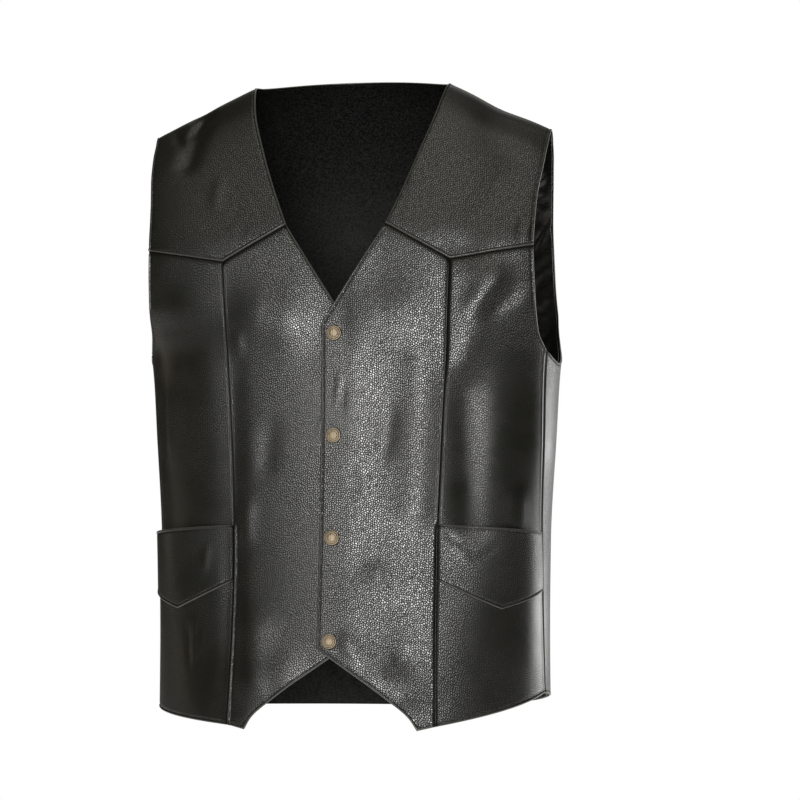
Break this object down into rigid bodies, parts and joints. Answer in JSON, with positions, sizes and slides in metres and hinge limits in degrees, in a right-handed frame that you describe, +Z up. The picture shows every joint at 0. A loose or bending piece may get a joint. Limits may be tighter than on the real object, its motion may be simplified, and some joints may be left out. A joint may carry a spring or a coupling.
{
  "type": "leather vest",
  "caption": "Black leather vest in western cut with pointed yokes, patch pockets and a snap front, filled out as if worn and carried on the wearer's shoulders.",
  "frame": {"origin": "midway between the two shoulder seams, at the height where the wearer's shoulders carry the vest", "axes": "+Z up, -Y the way the front faces, +X towards the wearer's left"},
  "size_m": [0.4152, 0.2557, 0.6546],
  "materials": {
    "leather": "semi-gloss pebble grain",
    "lining": "satin",
    "snap_metal": "aged"
  },
  "bodies": {
    "root": {"yoke_left": "leather", "front_centre_left": "leather", "front_side_left": "leather", "pocket_left": "leather", "pocket_cuff_left": "leather", "yoke_right": "leather", "front_centre_right": "leather", "front_side_right": "leather", "pocket_right": "leather", "pocket_cuff_right": "leather", "back": "leather", "back_lining": "lining", "snap_cap_1": "snap_metal", "snap_back_1": "snap_metal", "snap_cap_2": "snap_metal", "snap_back_2": "snap_metal", "snap_cap_3": "snap_metal", "snap_back_3": "snap_metal", "snap_cap_4": "snap_metal", "snap_back_4": "snap_metal"}
  },
  "joints": []
}
